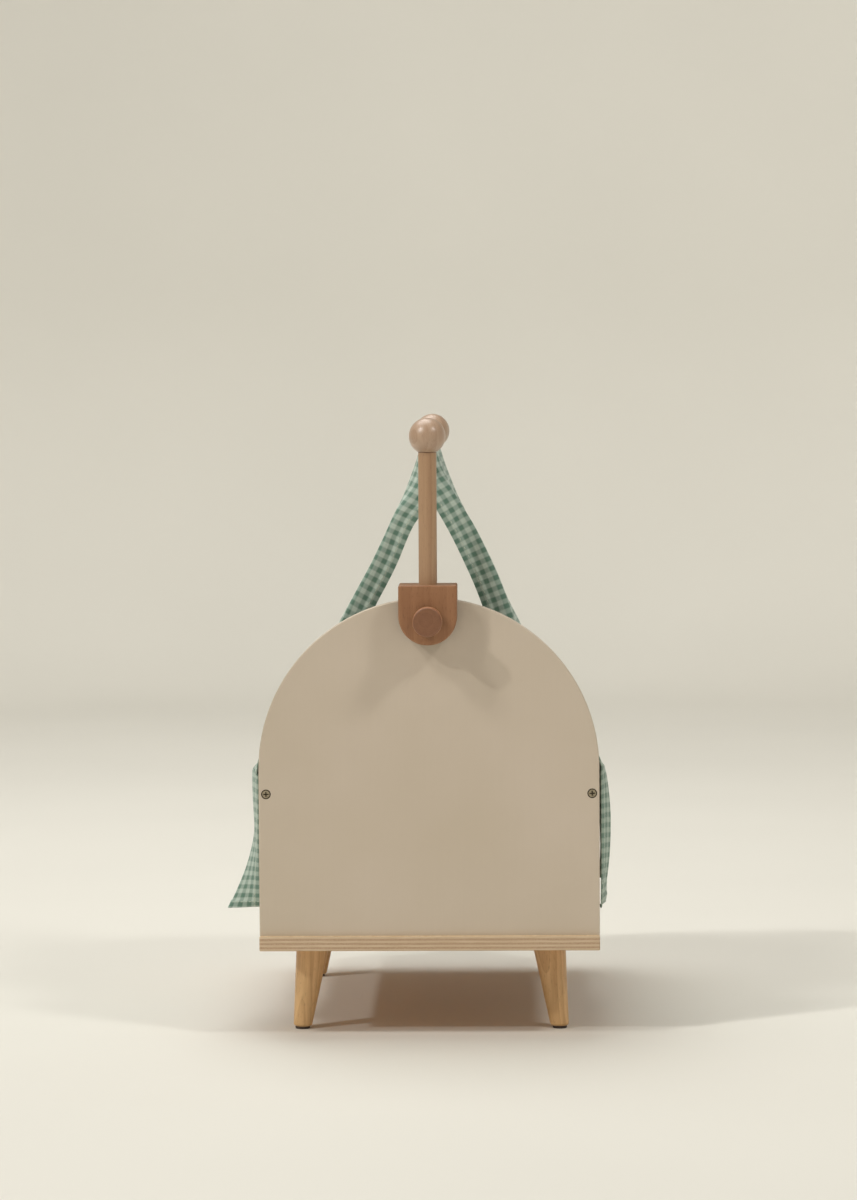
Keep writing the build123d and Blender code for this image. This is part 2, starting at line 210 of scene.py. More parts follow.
def layered_board(low, high):
    """Birch plywood: face grain on top and bottom, and its layers in turn round the edges."""
    s = Shader("birch_ply")
    layers = 7
    thickness = high[2] - low[2]
    face_fibre = s.noise(s.place(along("Y", 1300, 30)), detail=4)
    face_streak = s.noise(s.place(along("Y", 190, 5)), detail=3)
    tone = s.math("ADD", s.span(face_fibre, 0.3, 0.7, 0.0, 0.3), s.span(face_streak, 0.3, 0.7, 0.0, 0.5))
    face = s.mix(tone, colour(226, 203, 168), colour(190, 155, 112))
    raw = s.mix(tone, colour(200, 142, 78), colour(168, 110, 54))
    height = s.axes(s.place())[2]
    waver = s.span(s.noise(s.place((30, 30, 120)), detail=2), 0.3, 0.7, -0.00012, 0.00012)
    height = s.math("ADD", height, waver)
    level = s.math("MULTIPLY", s.math("SUBTRACT", height, low[2]), layers / thickness)
    odd = s.math("SINE", s.math("MULTIPLY", level, math.pi))
    end_speckle = s.noise(s.place((1700, 1700, 1100)), detail=2)
    side_fibre = s.noise(s.place((60, 60, 2200)), detail=3)
    light_layer = s.mix(s.span(side_fibre, 0.3, 0.7), colour(208, 186, 158), colour(190, 165, 135))
    dark_layer = s.mix(s.span(end_speckle, 0.35, 0.65), colour(190, 162, 135), colour(168, 138, 110))
    edge = s.mix(s.span(odd, -0.22, 0.22), dark_layer, light_layer)
    facing = s.facing("True Normal", "Z")
    flat = s.span(s.math("ABSOLUTE", facing), 0.7, 0.95)
    grain = s.mix(flat, side_fibre, face_fibre)
    face = s.mix(s.span(facing, -0.5, 0.5), raw, face)
    base = s.mix(flat, edge, face)
    return s.finish(base, s.span(grain, 0.3, 0.7, 0.46, 0.62), s.bump(grain, 0.00012, 0.5), Coat_Weight=0.1)


def metal(name, tone, rough):
    """Machined or plated metal: fine turning marks and patchy tarnish."""
    s = Shader(name)
    marks = s.noise(s.place((2600, 2600, 2600)), detail=2)
    patches = s.noise(s.place((420, 420, 420)), detail=3)
    base = s.mix(s.span(patches, 0.35, 0.7, 0.0, 0.55), colour(*tone), colour(*(0.62 * c for c in tone)))
    shine = s.span(patches, 0.3, 0.7, rough - 0.08, rough + 0.12)
    return s.finish(base, shine, s.bump(marks, 0.00003, 0.5), Metallic=1.0)


def screw_heads(name, node, tone, highlight_tone):
    """Dark countersunk screws with a painted highlight on each head between the rim and the cross recess,
    which leaves the rim and the recess dark as painted shade.
    """
    s = Shader(name)
    low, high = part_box(node)
    head_radius = 4 * MM
    face = low[1] if low[1] < 0 else high[1]
    x, y, z = s.axes(s.place())
    x = s.math("SUBTRACT", s.math("ABSOLUTE", x), high[0] - head_radius)
    z = s.math("SUBTRACT", z, (low[2] + high[2]) / 2)
    out = s.math("SQRT", s.math("ADD", s.math("MULTIPLY", x, x), s.math("MULTIPLY", z, z)))
    depth = s.math("ABSOLUTE", s.math("SUBTRACT", y, face))
    # Painted highlight on the flat of each head. Outside it, the rim and the cross recess stay dark as
    # painted shade.
    lit_ring = s.math("MULTIPLY", s.span(out, 3.3 * MM, 2.9 * MM), s.span(depth, 0.5 * MM, 0.2 * MM))
    scuffs = s.noise(s.place((900, 900, 900)), detail=3)
    lit_ring = s.math("MULTIPLY", lit_ring, s.span(scuffs, 0.3, 0.6, 0.6, 1.0))
    base = s.mix(lit_ring, colour(*tone), colour(*highlight_tone))
    return s.finish(base, s.span(scuffs, 0.3, 0.7, 0.34, 0.5), s.bump(scuffs, 0.00004, 0.5), Metallic=0.85)


def moulded(name, tone, rough=0.55):
    """Moulded plastic or rubber with a fine spark-eroded grain."""
    s = Shader(name)
    grain = s.noise(s.place((1800, 1800, 1800)), detail=2)
    scuffs = s.noise(s.place((260, 260, 260)), detail=4)
    base = s.mix(s.span(scuffs, 0.45, 0.75, 0.0, 0.5), colour(*tone), colour(*(1.35 * c for c in tone)))
    return s.finish(base, s.span(scuffs, 0.3, 0.7, rough, rough + 0.2), s.bump(grain, 0.00006, 0.6))


def felt():
    """Pressed wool with loose fibres."""
    s = Shader("clamp_felt")
    wool = s.noise(s.place((1400, 1400, 1400)), detail=4, rough=0.7)
    base = s.mix(s.span(wool, 0.3, 0.7), colour(205, 194, 170), colour(168, 155, 130))
    return s.finish(base, 0.95, s.bump(wool, 0.0004, 0.8), Sheen_Weight=0.5)


def weave(s, across, lengthwise, pitch):
    """Height of a plain weave from two distances in metres: over and under at every thread."""
    turn = math.pi / pitch
    over = s.math("SINE", s.math("MULTIPLY", across, turn))
    under = s.math("SINE", s.math("MULTIPLY", lengthwise, turn))
    return s.math("MULTIPLY", over, under)


def gingham(check, pitch):
    """Gingham cotton: dyed and white threads in both directions, with slubs and soft edges."""
    s = Shader("gingham_cotton")
    across, lengthwise, _ = s.axes(s.place(source="UV"))
    slub = s.noise(s.place((55, 900, 1), source="UV"), detail=3)
    slub_too = s.noise(s.place((900, 55, 1), source="UV"), detail=3)
    waver = s.span(s.noise(s.place((70, 70, 1), source="UV"), detail=2), 0.3, 0.7, -0.25 * MM, 0.25 * MM)
    bands = []
    for distance in (across, lengthwise):
        wave = s.math("SINE", s.math("MULTIPLY", s.math("ADD", distance, waver), math.pi / check))
        bands.append(s.span(wave, -0.42, 0.42))
    dyed = s.math("MULTIPLY", s.math("ADD", bands[0], bands[1]), 0.5)
    threads = weave(s, across, lengthwise, pitch)
    mixed = s.math("MULTIPLY", s.math("ABSOLUTE", s.math("SUBTRACT", bands[0], bands[1])), threads)
    dyed = s.math("ADD", dyed, s.math("MULTIPLY", mixed, 0.16))
    base = s.mix(dyed, colour(186, 200, 191), colour(88, 122, 108))
    uneven = s.math("ADD", s.span(slub, 0.3, 0.7, -0.5, 0.5), s.span(slub_too, 0.3, 0.7, -0.5, 0.5))
    base = s.mix(s.span(uneven, -0.8, 0.8, 0.0, 0.22), base, colour(120, 140, 118))
    height = s.math("ADD", s.math("MULTIPLY", threads, 0.5), s.math("MULTIPLY", uneven, 0.8))
    return s.finish(base, 0.86, s.bump(height, 0.00012, 0.7), Sheen_Weight=0.25, Sheen_Roughness=0.5)


def plain_cotton(name, pale, shaded, pitch):
    """Undyed plain-weave cotton, mapped by its own place so that it needs no seams."""
    s = Shader(name)
    x, y, z = s.axes(s.place())
    slant = s.math("MULTIPLY", z, 0.7)
    threads = weave(s, s.math("ADD", x, slant), s.math("ADD", y, slant), pitch)
    cloud = s.noise(s.place((60, 60, 60)), detail=3)
    slub = s.noise(s.place((900, 60, 900)), detail=3)
    base = s.mix(s.span(cloud, 0.3, 0.7), colour(*pale), colour(*shaded))
    base = s.mix(s.span(slub, 0.5, 0.75, 0.0, 0.25), base, colour(*(0.86 * c for c in shaded)))
    height = s.math("ADD", s.math("MULTIPLY", threads, 0.5), slub)
    return s.finish(base, 0.88, s.bump(height, 0.00012, 0.6), Sheen_Weight=0.2, Sheen_Roughness=0.5)


def thread_cotton():
    """Twisted sewing thread."""
    s = Shader("sewing_thread")
    twist = s.noise(s.place((3200, 3200, 3200)), detail=2)
    base = s.mix(s.span(twist, 0.3, 0.7), colour(214, 222, 208), colour(160, 178, 158))
    return s.finish(base, 0.8, s.bump(twist, 0.00008, 0.7))


def dress(nodes, material):
    """Gives CAD nodes a material in their own slots. Their meshes stay as they are."""
    for name in nodes:
        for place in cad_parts[name].material_slots:
            place.link = "OBJECT"
            place.material = material


def node_names(start):
    return [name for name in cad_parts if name.startswith(start)]


def build_piece(name, points, faces, material, body):
    """A mesh piece in the row frame that rides on a body."""
    mesh = bpy.data.meshes.new(name)
    mesh.from_pydata([tuple(p) for p in points], [], faces)
    mesh.materials.append(material)
    for face in mesh.polygons:
        face.use_smooth = True
    piece = bpy.data.objects.new(name, mesh)
    bpy.context.scene.collection.objects.link(piece)
    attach(piece, body)
    return piece


# ---------------------------------------------------------------- boards, legs, arm and metal

base_low, base_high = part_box("base_board")
dress(["headboard", "footboard", "side_panel_left", "side_panel_right"], painted_board())
dress(["base_board"], layered_board(base_low, base_high))

LEG_PALE, LEG_DARK = colour(222, 184, 132), colour(168, 120, 70)
for index, name in enumerate(name for name in node_names("leg_") if name[4:8] in ("head", "foot")):
    low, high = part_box(name)
    pith = (-low[0] - 0.004 + 0.003 * index, -low[1] + 0.03, 0)
    dress([name], wood(name + "_wood", "Z", LEG_PALE, LEG_DARK, pith, ring=0.0042, fleck=0.25, coat=0.2))
dress(node_names("leg_glide"), moulded("glide_plastic", (58, 46, 38)))

BALL_PALE, BALL_DARK = colour(182, 154, 130), colour(156, 121, 95)
POST_PALE, POST_DARK = colour(177, 144, 111), colour(148, 108, 78)
CLAMP_PALE, CLAMP_DARK = colour(158, 113, 78), colour(130, 87, 57)
KNOB_PALE, KNOB_DARK = colour(180, 126, 90), colour(152, 98, 66)
clamp_wood = {"ring": 0.006, "fleck": 0.28, "coat": 0.12}
turned_wood = {"ring": 0.007, "fleck": 0.22, "coat": 0.3}
ball_wood = {"ring": 0.007, "fleck": 0.22, "rough": 0.4, "coat": 0.9}
knob_wood = dict(clamp_wood, end_grain=0.6)
# The post gets a ring of painted shadow just under the ball, where the ball sits on it.
post_wood = dict(turned_wood, shadow_gap_at=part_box("canopy_post_ball")[0][2] + 0.5 * MM)
for node, name, axis, pale, dark, pith, kind in (
    ("clamp_block", "clamp_block_wood", "Z", CLAMP_PALE, CLAMP_DARK, (0.031, 0.27, 0), clamp_wood),
    ("clamp_knob", "clamp_knob_wood", "Y", KNOB_PALE, KNOB_DARK, (0.0015, 0, -0.3475), knob_wood),
    ("canopy_post", "canopy_post_wood", "Z", POST_PALE, POST_DARK, (0.034, 0.22, 0), post_wood),
    ("canopy_bar", "canopy_bar_wood", "Y", POST_PALE, POST_DARK, (0.031, 0, -0.52), turned_wood),
    ("canopy_post_ball", "post_ball_wood", "Z", BALL_PALE, BALL_DARK, (0.048, 0.22, 0), ball_wood),
    ("canopy_bar_end_ball", "end_ball_wood", "Z", BALL_PALE, BALL_DARK, (-0.043, -0.13, 0), ball_wood),
):
    dress([node], wood(name, axis, pale, dark, pith, **kind))

for name in ("headboard_screws", "footboard_screws"):
    # The second colour is the painted highlight on the screw heads.
    dress([name], screw_heads(name + "_steel", name, (62, 54, 44), (176, 164, 140)))
dress(["base_screws", "canopy_post_screw"], metal("screw_steel", (104, 94, 82), 0.42))
dress(["leg_hanger_bolts", "leg_tee_nuts", "clamp_screw"], metal("zinc_steel", (196, 196, 192), 0.34))
dress(["clamp_insert"], metal("insert_brass", (206, 172, 98), 0.32))
dress(["clamp_liner"], felt())
dress(["clamp_pad"], moulded("pad_rubber", (84, 80, 76), 0.7))


# ---------------------------------------------------------------- canopy

bar_low, bar_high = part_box("canopy_bar")
side_low, side_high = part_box("side_panel_right")
head_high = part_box("headboard")[1]

CLOTH = 0.5 * MM
HEM = 7 * MM  # turned under twice
HEM_THICK = 1.2 * MM
HEM_STEPS = [value * MM for value in (0, 0.3, 0.9, 2.4, 4.0, 5.5, 6.8, 7.5)]  # in from an edge
STITCH_ROW = 5  # in HEM_STEPS
CHECK = 4.2 * MM  # width of one stripe
THREAD = 0.42 * MM  # from one thread to the next
CLOTH_WIDTH = 242 * MM  # along the bar
TURN = 3 * MM  # radius at each edge of a side's top
LOOSE = 0.3 * MM  # from the bar and the sides to the cloth's inner face
bar_z = (bar_low[2] + bar_high[2]) / 2
over_bar = (bar_high[2] - bar_low[2]) / 2 + LOOSE
over_side = side_high[2] + LOOSE
side_outer = side_high[0] + LOOSE
side_inner = side_low[0] - LOOSE
canopy_front = head_high[1] + 6 * MM  # the near edge where it isn't turned
TAIL = {-1: 132 * MM, 1: 124.5 * MM}  # how far the cloth hangs outside each side
FAR_CURL = 15 * MM  # how much of the far edge curls
FAR_CURL_DEPTH = 3.2 * MM
CREASE_RADIUS = 2.6 * MM
CREASE_ANGLE = math.radians(94)  # the near edge is turned in by this much
TAIL_ROOM = {-1: 0.7 * MM, 1: 1.0 * MM}  # from a side to the edge turned in beside it
MIDDLE_ROOM = 0.8 * MM  # from the middle plane to the edge turned in beside it

# Each bulge in the near edge's slope: its depth in mm, then its middle and width as shares of the slope
TOP_BULGE = (4.9, 0.14, 0.13)
LOWER_BULGE = {-1: (5.6, 0.36, 0.17), 1: (4.6, 0.64, 0.17)}
MIDDLE_SAG, MIDDLE_WAVE = 9.5, 2.0  # mm, away from the near edge

# The hanging ends, with lengths in mm and places as shares of the end's length or the cloth's width
SETTLE = {-1: 0.1, 1: 0.06}  # the place by which an end has moved off its side
NEAR_TO_FAR = {-1: (0.14, 0.5), 1: (0.06, 0.34)}  # where the near edge's shape turns into the rest's
FOLD_PHASE = {-1: 0.42, 1: 0.05}
FLARE, FLARE_START = 22.0, 0.45  # the left end's near corner swings out
BELLY = 9.1  # the right end's near edge bows out

BAR_STEPS, SLOPE_STEPS, TURN_STEPS, LEVEL_STEPS, TAIL_STEPS, ACROSS_STEPS = 7, 106, 7, 2, 46, 86
SLOPE_END = BAR_STEPS + SLOPE_STEPS
TAIL_START = SLOPE_END + 2 * TURN_STEPS + LEVEL_STEPS

rise = bar_z - over_side
slope_lean = math.atan2(side_inner, rise) - math.asin(over_bar / math.hypot(side_inner, rise))


def bulge(q, depth, middle, width):
    return depth * math.exp(-(((q - middle) / width) ** 2))


def sag(side, q, across):
    """How far the slope hangs below a straight line, from the bar at q = 0 to the side at q = 1."""
    near = bulge(q, *TOP_BULGE) + bulge(q, *LOWER_BULGE[side])
    wave = math.sin(2 * math.pi * (1.35 * across + 0.3 * side) + 1.9 * q)
    middle = (MIDDLE_SAG + MIDDLE_WAVE * wave) * math.tanh(q / 0.09) * (1 - q ** 3)
    return MM * lerp(near, middle, smooth(0.03, 0.4, across))


def tail_offset(side, q, across):
    """How far the hanging end stands off the side, from the side's top at q = 0 to the hem at q = 1."""
    fold = 0.5 + 0.5 * math.sin(2 * math.pi * (1.75 * across + FOLD_PHASE[side]))
    if side < 0:
        flared = (max(q - FLARE_START, 0.0) / (1 - FLARE_START)) ** 1.6
        near = 6.7 + 0.4 * math.sin(9 * q + 0.3) + FLARE * flared
        far = 1.2 + q ** 1.5 * (4.5 + 9.5 * fold) + 0.8 * math.sin(5 * q + 6 * across)
    else:
        bowed = max(math.sin(math.pi * min(q, 1.0) ** 0.85), 0.0) ** 0.7
        near = 0.4 + BELLY * bowed
        far = 1.0 + 5.5 * math.sin(0.62 * math.pi * q) ** 1.6 + 3.0 * q ** 1.5 * fold
    return MM * smooth(0, SETTLE[side], q) * lerp(near, far, smooth(*NEAR_TO_FAR[side], across))


def half_section(side, across):
    """One half of the canopy's section, from the bar's top to the hem: (x, z), with x always positive."""
    wrap = math.pi / 2 - slope_lean
    points = []
    for k in range(BAR_STEPS):
        angle = wrap * k / BAR_STEPS
        points.append((over_bar * math.sin(angle), bar_z + over_bar * math.cos(angle)))
    start = Vector((over_bar * math.sin(wrap), bar_z + over_bar * math.cos(wrap)))
    down = Vector((math.sin(slope_lean), -math.cos(slope_lean)))
    corner = Vector((side_inner, over_side))
    reach = TURN * math.tan(wrap / 2)
    end = corner - down * reach
    for k in range(SLOPE_STEPS):
        q = k / SLOPE_STEPS
        points.append(tuple(start.lerp(end, q) + sag(side, q, across) * Vector((down.y, -down.x))))
    for k in range(TURN_STEPS):
        angle = wrap * (1 - k / TURN_STEPS)
        points.append((side_inner + reach - TURN * math.sin(angle), over_side + TURN * (1 - math.cos(angle))))
    for k in range(LEVEL_STEPS):
        points.append((lerp(side_inner + reach, side_outer - TURN, k / LEVEL_STEPS), over_side))
    for k in range(TURN_STEPS):
        angle = math.pi / 2 * k / TURN_STEPS
        points.append((side_outer - TURN * (1 - math.sin(angle)), over_side - TURN * (1 - math.cos(angle))))
    z, offset, at = over_side - TURN, 0.0, 0.0
    for further in tail_places(side):
        step, at = further - at, further
        moved = tail_offset(side, at / TAIL[side], across)
        z -= math.sqrt(max(step ** 2 - (moved - offset) ** 2, (0.2 * step) ** 2))
        offset = moved
        points.append((side_outer + offset, z))
    return points


def tail_places(side):
    """Distances down a hanging end, close together at its hem."""
    last = TAIL[side] - HEM_STEPS[-1]
    above = [last * k / TAIL_STEPS for k in range(TAIL_STEPS + 1)]
    return above + [TAIL[side] - value for value in HEM_STEPS[-2::-1]]


def across_places():
    """Distances across the cloth, close together at both hems."""
    last = HEM_STEPS[-1]
    inner = [lerp(last, CLOTH_WIDTH - last, k / ACROSS_STEPS) for k in range(1, ACROSS_STEPS)]
    return HEM_STEPS + inner + [CLOTH_WIDTH - value for value in reversed(HEM_STEPS)]


def lengths(points):
    """Distance along a line of points, at each of them."""
    total, result = 0.0, [0.0]
    for a, b in zip(points, points[1:]):
        total += math.dist(a, b)
        result.append(total)
    return result


def turned_in(side, down, tail):
    """The near edge's two bends, down the slope and 0 to 1 down the tail.

    (cloth beyond the crease, cloth that rolls over before it, the roll's angle, the crease's angle)
    """
    wavy = 0.6 * math.sin(down / 0.031 + side) + 0.4 * math.sin(down / 0.0137)
    if side < 0:
        cloth = lerp(17.5, 28.0, smooth(0.04, 0.26, down)) + 2 * tail
        roll = 20.0 * (1 - smooth(0.04, 0.09, down))
        tip = 50.0 * (1 - smooth(0.05, 0.10, down))
    else:
        cloth = 19.0 + 4.0 * math.sin(math.pi * min(down / 0.29, 1.0)) + 3 * tail
        roll = 14.0 * (1 - smooth(0.025, 0.065, down))
        tip = 45.0 * (1 - smooth(0.03, 0.07, down))
    shown = smooth(0.0, 0.042, down)
    return (cloth + wavy) * MM, roll * MM, math.radians(tip) * shown, CREASE_ANGLE * shown


def bent(cloth, angle, radius):
    """How far a strip reaches forward and inward when it bends to that angle round a radius."""
    bend = min(angle, cloth / radius)
    left = cloth - radius * bend
    forward = radius * math.sin(bend) + left * math.cos(bend)
    return forward, radius * (1 - math.cos(bend)) + left * math.sin(bend)


def near_edge(at, cloth, roll, tip, angle):
    """Forward from the start of the roll, and inward, of a point that far in from the near hem."""
    left = cloth + roll - at
    if left <= 0:
        return left, 0.0
    if at > cloth:
        return bent(left, tip * left / max(roll, 1e-6), max(roll / max(tip, 1e-6), 1e-6))
    forward, inward = (0.0, 0.0) if roll < 1e-6 else bent(roll, tip, roll / max(tip, 1e-6))
    further, deeper = bent(cloth - at, max(angle - tip, 0.0), CREASE_RADIUS)
    forward += further * math.cos(tip) - deeper * math.sin(tip)
    return forward, inward + further * math.sin(tip) + deeper * math.cos(tip)


def limit_turn(cloth, angle, room):
    """The largest angle, up to this one, that keeps the turned edge within room."""
    low, high = 0.0, angle
    if bent(cloth, high, CREASE_RADIUS)[1] <= room:
        return high
    for _ in range(18):
        middle = (low + high) / 2
        if bent(cloth, middle, CREASE_RADIUS)[1] > room:
            high = middle
        else:
            low = middle
    return low


def kept_within(value, limit):
    """The value, eased so that it never passes the limit."""
    easy = 0.7 * limit
    if value <= easy:
        return value
    return limit - (limit - easy) * math.exp(-(value - easy) / (limit - easy))


def canopy_half(side, across_at):
    """(place, distance across, distance along, share of the tail) from the bar's top to one hem."""
    section = half_section(side, across_at / CLOTH_WIDTH)
    run = lengths(section)
    result = []
    for k, (x, z) in enumerate(section):
        before, after = section[max(k - 1, 0)], section[min(k + 1, len(section) - 1)]
        if k == 0:
            before = (-after[0], after[1])
        tangent = Vector((after[0] - before[0], after[1] - before[1])).normalized()
        inward = Vector((tangent.y, -tangent.x))
        down = run[k]
        tail = max(0.0, (down - run[TAIL_START]) / TAIL[side])
        inward = inward.lerp(Vector((-1.0, 0.12)), smooth(0.05, 0.6, tail))
        clear = 1 - smooth(run[SLOPE_END] - 35 * MM, run[SLOPE_END] - 2 * MM, down)
        cloth, roll, tip, angle = turned_in(side, down, tail)
        if tail > 0:
            angle = limit_turn(cloth, angle, max(x - side_outer - TAIL_ROOM[side], 0.0))
        else:
            angle *= clear
        forward, reach = near_edge(across_at, cloth, roll, min(tip, angle), angle)
        y = canopy_front + cloth + roll - forward
        curl = max(0.0, across_at - CLOTH_WIDTH + FAR_CURL) / FAR_CURL
        curl_here = smooth(0.0, 0.045, down) * clear - 0.6 * smooth(0.1, 0.5, tail)
        reach += FAR_CURL_DEPTH * curl ** 2 * curl_here
        if BAR_STEPS <= k < SLOPE_END:
            reach = kept_within(reach, (x - MIDDLE_ROOM) / -inward.x)
        place = Vector((side * (x + reach * inward.x), y, z + reach * inward.y))
        result.append((place, across_at, side * down, tail))
    return result


def crumple(across_at, along_at, tail, slope_length):
    """Height of the soft folds, puckers and small wrinkles at a point of the cloth."""
    down = abs(along_at)
    on_slope = smooth(0.008, 0.04, down) * (1 - smooth(slope_length - 0.03, slope_length - 0.004, down))
    hanging = smooth(0.12, 0.4, tail)
    free = on_slope + hanging
    pucker = math.sin(across_at / 0.0027 + 2.2 * math.sin(across_at / 0.013) + math.copysign(1, along_at))
    pucker *= smooth(0.006, 0.022, down) * math.exp(-down / 0.035)
    folds = noise.noise(Vector((across_at / 0.034, along_at / 0.16, 3.7)))
    small = noise.noise(Vector((across_at / 0.015, along_at / 0.026, 8.1)))
    fine = noise.noise(Vector((across_at / 0.006, along_at / 0.007, 1.3)))
    return (0.7 * pucker + free * (1.6 * folds + 0.55 * small + 0.16 * fine)) * MM


def stitch_run(line, normals, lift):
    """A row of short raised stitches along a line on the cloth, 4 mm apart and 2.6 mm long."""
    pitch, long, thick, sides = 4 * MM, 2.6 * MM, 0.26 * MM, 6
    run = lengths(line)
    points, faces = [], []
    at, k = pitch / 2, 0
    while at < run[-1] - pitch / 2:
        while run[k + 1] < at:
            k += 1
        t = (at - run[k]) / (run[k + 1] - run[k])
        centre = line[k].lerp(line[k + 1], t)
        up = normals[k].lerp(normals[k + 1], t).normalized()
        forward = (line[k + 1] - line[k]).normalized()
        across = up.cross(forward)
        centre = centre + up * lift
        start = len(points)
        for place, size in ((-0.5, 0.45), (-0.3, 0.95), (0.0, 1.1), (0.3, 0.95), (0.5, 0.45)):
            rise = 0.12 * MM * (1 - 4 * place * place)
            for turn in range(sides):
                angle = 2 * math.pi * turn / sides
                spot = centre + forward * (long * place) + across * (thick * size * math.cos(angle))
                points.append(spot + up * (thick * size * math.sin(angle) + rise))
        for ring in range(4):
            for turn in range(sides):
                a, b = start + ring * sides + turn, start + ring * sides + (turn + 1) % sides
                faces.append((a, b, b + sides, a + sides))
        faces.append(tuple(range(start + sides - 1, start - 1, -1)))
        faces.append(tuple(range(start + 4 * sides, start + 5 * sides)))
        at += pitch
    return points, faces


def make_canopy():
    """The cloth over the bar: one curved sheet with its hems, and the stitching along them."""
    rows = []
    for across_at in across_places():
        left, right = canopy_half(-1, across_at), canopy_half(1, across_at)
        rows.append(list(reversed(left[1:])) + right)
    columns = len(rows[0])
    flat = [spot for row in rows for spot in row]
    places = [spot[0].copy() for spot in flat]
    slope_length = lengths(half_section(1, 0.5))[SLOPE_END]

    def normal(r, c):
        ahead = places[min(r + 1, len(rows) - 1) * columns + c] - places[max(r - 1, 0) * columns + c]
        side = places[r * columns + min(c + 1, columns - 1)] - places[r * columns + max(c - 1, 0)]
        return side.cross(ahead).normalized()

    normals = [normal(r, c) for r in range(len(rows)) for c in range(columns)]
    points = []
    for place, up, (_, across_at, along_at, tail) in zip(places, normals, flat):
        near = smooth(0.0, 0.05, across_at)
        height = crumple(across_at, along_at, tail, slope_length) * lerp(0.35, 1.0, near)
        points.append(place + up * height)
    faces = []
    for r in range(len(rows) - 1):
        for c in range(columns - 1):
            a = r * columns + c
            faces.append((a, a + 1, a + columns + 1, a + columns))
    cloth = build_piece("canopy_cloth", points, faces, gingham(CHECK, THREAD), "canopy_arm")
    mapping = cloth.data.uv_layers.new(name="UVMap")
    for loop in cloth.data.loops:
        spot = flat[loop.vertex_index]
        mapping.data[loop.index].uv = (spot[1], spot[2])
    thickness = cloth.vertex_groups.new(name="thickness")
    for index, (_, across_at, along_at, tail) in enumerate(flat):
        side = -1 if along_at < 0 else 1
        edge = min(across_at, CLOTH_WIDTH - across_at, (1 - tail) * TAIL[side])
        thickness.add([index], 1.0 if edge < HEM - 0.1 * MM else CLOTH / HEM_THICK, "REPLACE")
    shell = cloth.modifiers.new("thickness", "SOLIDIFY")
    shell.thickness = HEM_THICK
    shell.offset = 1.0
    shell.vertex_group = "thickness"
    shell.use_even_offset = False

    stitches, stitch_faces = [], []
    last_row, last_column = len(rows) - 1, columns - 1
    paths = [[r * columns + c for c in range(columns)] for r in (STITCH_ROW, last_row - STITCH_ROW)]
    paths += [[r * columns + c for r in range(len(rows))] for c in (STITCH_ROW, last_column - STITCH_ROW)]
    for path in paths:
        line = [points[index] for index in path]
        ups = [normals[index] for index in path]
        for lift, sign in ((HEM_THICK, 1), (0.0, -1)):
            made, quads = stitch_run(line, [up * sign for up in ups], lift * sign)
            stitch_faces += [tuple(index + len(stitches) for index in quad) for quad in quads]
            stitches += made
    thread = build_piece("canopy_stitching", stitches, stitch_faces, thread_cotton(), "canopy_arm")
    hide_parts("canopy")
    long = TAIL[-1] + TAIL[1] + 2 * lengths(half_section(1, 0.0))[TAIL_START]


make_canopy()


# ---------------------------------------------------------------- mattress

pad_low, pad_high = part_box("mattress")
PIPING = 1.7 * MM  # radius
# Room left in the CAD pad's box for the swelling
ROOM_BESIDE, ROOM_BELOW, ROOM_ABOVE = 3.5 * MM, 0.3 * MM, 2.0 * MM
SEAM_IN = 2.5 * MM  # the seams' distance from the pad's top and bottom
PAD_CORNER = 14 * MM
OUTLINE_STEP = 5 * MM
PAD_GRID = 4.5 * MM  # size of the simulated faces
SIDE_PULL = 1.6 * MM  # how far the middle of each side is drawn in
PINNED_HIGH, PINNED_IN = 2.2 * MM, 6 * MM  # how far from a seam the cover is held
SWELL_PRESSURE, SWELL_FRAMES, MOST_SWELL = 4.0, 20, 6 * MM


def rounded_outline(half_x, half_y, radius, step):
    """Points round a rectangle with rounded corners, about evenly spaced, anticlockwise."""
    points = []
    for quarter, (sign_x, sign_y) in enumerate(((1, -1), (1, 1), (-1, 1), (-1, -1))):
        centre = (sign_x * (half_x - radius), sign_y * (half_y - radius))
        first = math.pi / 2 * (quarter - 1)
        turns = max(2, round(radius * math.pi / 2 / step))
        corner = [(centre[0] + radius * math.cos(first + math.pi / 2 * k / turns),
                   centre[1] + radius * math.sin(first + math.pi / 2 * k / turns)) for k in range(turns + 1)]
        if points:
            fill_run(points, points[-1], corner[0], step)
        points += corner
    fill_run(points, points[-1], points[0], step)
    return points


def fill_run(points, start, end, step):
    """Adds evenly spaced points between start and end, without either."""
    count = max(1, round(math.dist(start, end) / step))
    for k in range(1, count):
        points.append((lerp(start[0], end[0], k / count), lerp(start[1], end[1], k / count)))


def pad_pull(x, y, half_x, half_y):
    """Shares from 0 to 1 by which the sides along x and along y are drawn in: 1 at their middles."""
    along_x = 1 - (x / half_x) ** 2 if abs(abs(y) - half_y) < PAD_CORNER else 0.0
    along_y = 1 - (y / half_y) ** 2 if abs(abs(x) - half_x) < PAD_CORNER else 0.0
    return max(along_x, 0.0), max(along_y, 0.0)


